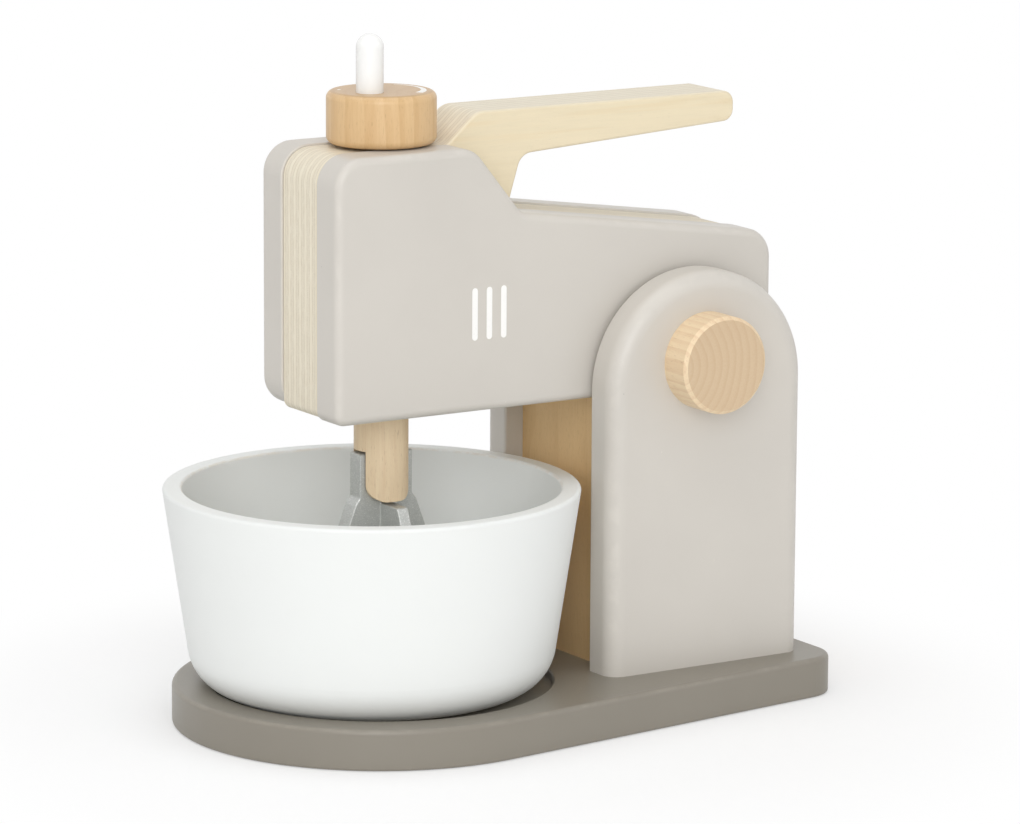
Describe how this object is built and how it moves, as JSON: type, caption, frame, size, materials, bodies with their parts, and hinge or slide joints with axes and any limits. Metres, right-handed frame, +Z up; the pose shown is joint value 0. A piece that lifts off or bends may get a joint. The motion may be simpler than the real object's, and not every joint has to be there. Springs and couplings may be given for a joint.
{
  "type": "toy stand mixer",
  "caption": "Wooden toy stand mixer: tapered base, arched column, head that tilts up by its handle, hand crank that turns a plug-in beater, and a loose bowl.",
  "frame": {"origin": "on the underside of the base, on the axis of the crank shaft and of the bowl's recess", "axes": "+Z up, +X from the bowl towards the column, the side with the printed stripes at -Y"},
  "size_m": [0.1976, 0.1235, 0.2035],
  "materials": {
    "head_paint": "satin light grey paint on wood",
    "base_paint": "satin taupe paint on wood",
    "bowl_paint": "matt white paint on turned wood",
    "peg_paint": "gloss white paint on wood",
    "plywood": "clear-sealed birch plywood",
    "maple": "oiled hardwood",
    "dowel_wood": "oiled hardwood dowel",
    "plain_wood": "bare sanded wood",
    "silver_plastic": "silver with fine sparkle",
    "washer_plastic": "natural nylon",
    "steel": "zinc-plated"
  },
  "bodies": {
    "stand": {"base_plate": "base_paint", "near_upright": "head_paint", "far_upright": "head_paint", "column_block": "plain_wood", "pivot_axle": "dowel_wood", "near_pivot_cap": "dowel_wood", "far_pivot_cap": "dowel_wood", "near_washer": "washer_plastic", "far_washer": "washer_plastic", "column_dowel_pins": "dowel_wood", "base_screws": "steel"},
    "head": {"head_core": "plywood", "near_head_panel": "head_paint", "far_head_panel": "head_paint", "head_dowel_pins": "dowel_wood", "shaft_keeper_pin": "steel"},
    "crank": {"crank_knob": "maple", "crank_peg": "peg_paint", "crank_shaft": "dowel_wood"},
    "beater": {"beater": "silver_plastic"},
    "bowl": {"bowl": "bowl_paint"}
  },
  "joints": [
    {"name": "head_tilt", "type": "hinge", "parent": "stand", "child": "head", "pos_m": [0.0898, 0, 0.1044], "axis": [0, 1, 0], "range_deg": [0, 60]},
    {"name": "crank_spin", "type": "hinge", "parent": "head", "child": "crank", "pos_m": [0, 0, 0.17], "axis": [0, 0, 1], "continuous": true},
    {"name": "beater_release", "type": "slide", "parent": "crank", "child": "beater", "axis": [0, 0, -1], "range_m": [0, 0.008]},
    {"name": "bowl_lift", "type": "slide", "parent": "stand", "child": "bowl", "axis": [0, 0, 1], "range_m": [0, 0.006]}
  ]
}
